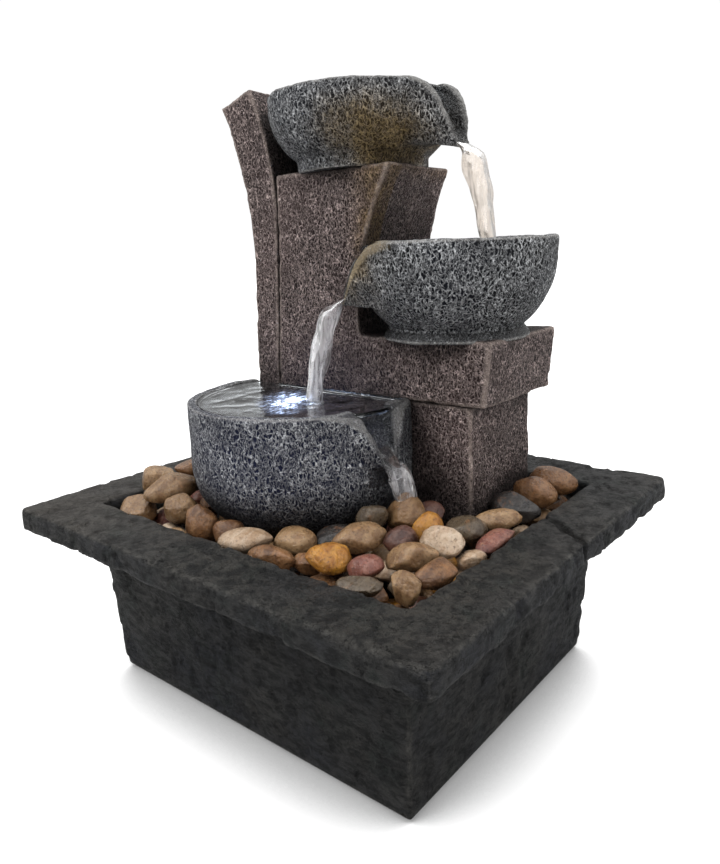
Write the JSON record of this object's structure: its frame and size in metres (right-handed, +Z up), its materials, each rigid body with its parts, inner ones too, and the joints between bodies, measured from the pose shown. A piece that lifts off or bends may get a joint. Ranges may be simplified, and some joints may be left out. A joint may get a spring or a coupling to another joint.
{
  "type": "tabletop water fountain",
  "caption": "Tabletop water fountain: three stone bowls on a stepped tower spill down over pebbles in a square slate tray, with a hidden pump, light and switch.",
  "frame": {"origin": "centre of the tray's footprint on the table", "axes": "+Z up, -Y is the long front of the tray, +X is the right-hand side where the cap beam is"},
  "size_m": [0.228, 0.2, 0.27],
  "materials": {
    "slate": "matt chipped charcoal slate",
    "brown_stone": "matt wrinkled brown cast stone with dry-brushed edges",
    "grey_stone": "matt wrinkled blue-grey cast stone with light rims",
    "pebble_tan": "polished",
    "pebble_brown": "polished",
    "pebble_cream": "polished",
    "pebble_ochre": "polished",
    "pebble_rose": "polished",
    "pebble_maroon": "polished",
    "pebble_grey": "polished",
    "pebble_black": "polished",
    "rubber": "matt black",
    "deck_plastic": "matt black",
    "pump_plastic": "satin black",
    "clear_tube": "milky flexible tube",
    "foam": "open-cell filter foam",
    "magnet": "sintered ferrite",
    "ceramic_shaft": "ground ceramic",
    "core_iron": "laminated sheet",
    "copper_coil": "enamelled copper winding",
    "cord_plastic": "flexible black sheath",
    "switch_plastic": "satin black",
    "rocker_plastic": "gloss red",
    "plated_metal": "nickel plate",
    "light_plastic": "satin dark grey",
    "board": "white solder mask",
    "light_chip": "cool white emitter",
    "lens_clear": "clear polished"
  },
  "bodies": {
    "tray": {"tray_rim": "slate", "tray_basin": "slate", "rubber_feet": "rubber", "cord_grommet": "rubber", "pebble_deck": "deck_plastic", "pebbles_tan": "pebble_tan", "pebbles_brown": "pebble_brown", "pebbles_cream": "pebble_cream", "pebbles_ochre": "pebble_ochre", "pebbles_rose": "pebble_rose", "pebbles_maroon": "pebble_maroon", "pebbles_grey": "pebble_grey", "pebbles_black": "pebble_black", "pump_case": "pump_plastic", "stator_core": "core_iron", "stator_coil": "copper_coil", "pump_rear_cover": "pump_plastic", "suction_cups": "rubber", "volute_cover": "pump_plastic", "shaft_bushes": "rubber", "rotor_shaft": "ceramic_shaft", "power_cord": "cord_plastic", "switch_base": "switch_plastic", "switch_cover": "switch_plastic", "switch_screws": "plated_metal", "rocker_pin": "plated_metal", "plug_barrel": "plated_metal", "plug_grip": "cord_plastic"},
    "fountain": {"left_slab": "brown_stone", "tower_body": "brown_stone", "pedestal": "brown_stone", "top_bowl": "grey_stone", "middle_bowl": "grey_stone", "bottom_bowl": "grey_stone", "riser_tube": "clear_tube", "inlet_collar": "pump_plastic", "light_housing": "light_plastic", "light_board": "board", "light_chips": "light_chip", "light_lens": "lens_clear", "wire_seal": "rubber", "light_wire": "cord_plastic", "light_connector": "light_plastic"},
    "rotor": {"impeller": "pump_plastic", "rotor_magnet": "magnet"},
    "strainer": {"strainer_cover": "pump_plastic", "strainer_foam": "foam"},
    "dial": {"flow_dial": "pump_plastic"},
    "rocker": {"switch_rocker": "rocker_plastic"}
  },
  "joints": [
    {"name": "tower_lift", "type": "slide", "parent": "tray", "child": "fountain", "axis": [0, 0, 1], "range_m": [0, 0.12]},
    {"name": "rotor_spin", "type": "hinge", "parent": "tray", "child": "rotor", "pos_m": [-0.0225, 0.04, 0.0222], "axis": [0, 1, 0], "continuous": true},
    {"name": "strainer_slide", "type": "slide", "parent": "tray", "child": "strainer", "axis": [0, -1, 0], "range_m": [0, 0.008]},
    {"name": "dial_turn", "type": "hinge", "parent": "strainer", "child": "dial", "pos_m": [-0.0225, 0.027, 0.0222], "axis": [0, 1, 0], "range_deg": [0, 90]},
    {"name": "rocker_tip", "type": "hinge", "parent": "tray", "child": "rocker", "pos_m": [0.023, 0.0815, 0.0104], "axis": [0, -1, 0], "range_deg": [0, 14]}
  ]
}
